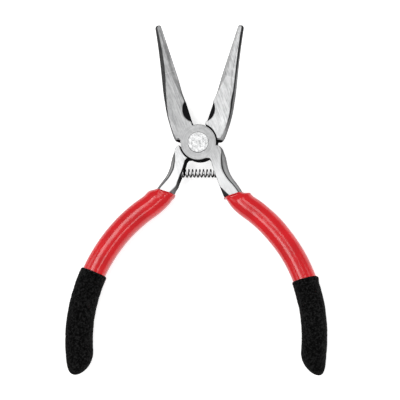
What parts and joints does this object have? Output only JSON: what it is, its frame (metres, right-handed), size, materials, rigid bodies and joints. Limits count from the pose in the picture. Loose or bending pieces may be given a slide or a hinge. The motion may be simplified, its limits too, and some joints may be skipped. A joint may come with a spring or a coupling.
{
  "type": "round nose pliers",
  "caption": "Small spring-opened pliers with smooth round tapering jaws, side cutters, lap joint, vinyl sleeves and foam-covered curved handles.",
  "frame": {"origin": "on the pivot axis at the rear face of the joint, at the flush end of the rivet", "axes": "+Y towards the jaw tips along the centre line of the open pliers, +Z along the pivot from the rear face to the front face, +X to the right of somebody looking at the front face with the jaws up"},
  "size_m": [0.088, 0.1177, 0.0096],
  "materials": {
    "forged_steel": "ground bright faces with a fine grain, dark oxide left on the outer backs and in the cutter bevels",
    "rivet_steel": "bright peened steel",
    "spring_steel": "bright drawn wire",
    "red_vinyl": "glossy dipped vinyl",
    "black_foam": "matte fine-pored foam"
  },
  "bodies": {
    "rear_half": {"rear_plier_half": "forged_steel", "pivot_rivet": "rivet_steel", "return_spring": "spring_steel", "left_handle_sleeve": "red_vinyl", "left_foam_grip": "black_foam"},
    "front_half": {"front_plier_half": "forged_steel", "right_handle_sleeve": "red_vinyl", "right_foam_grip": "black_foam"}
  },
  "joints": [
    {"name": "pivot_hinge", "type": "hinge", "parent": "rear_half", "child": "front_half", "pos_m": [0, 0, 0.0038], "axis": [0, 0, 1], "range_deg": [-36, 12], "stiffness_Nm_per_rad": 0.25, "deforming": ["return_spring"]}
  ]
}
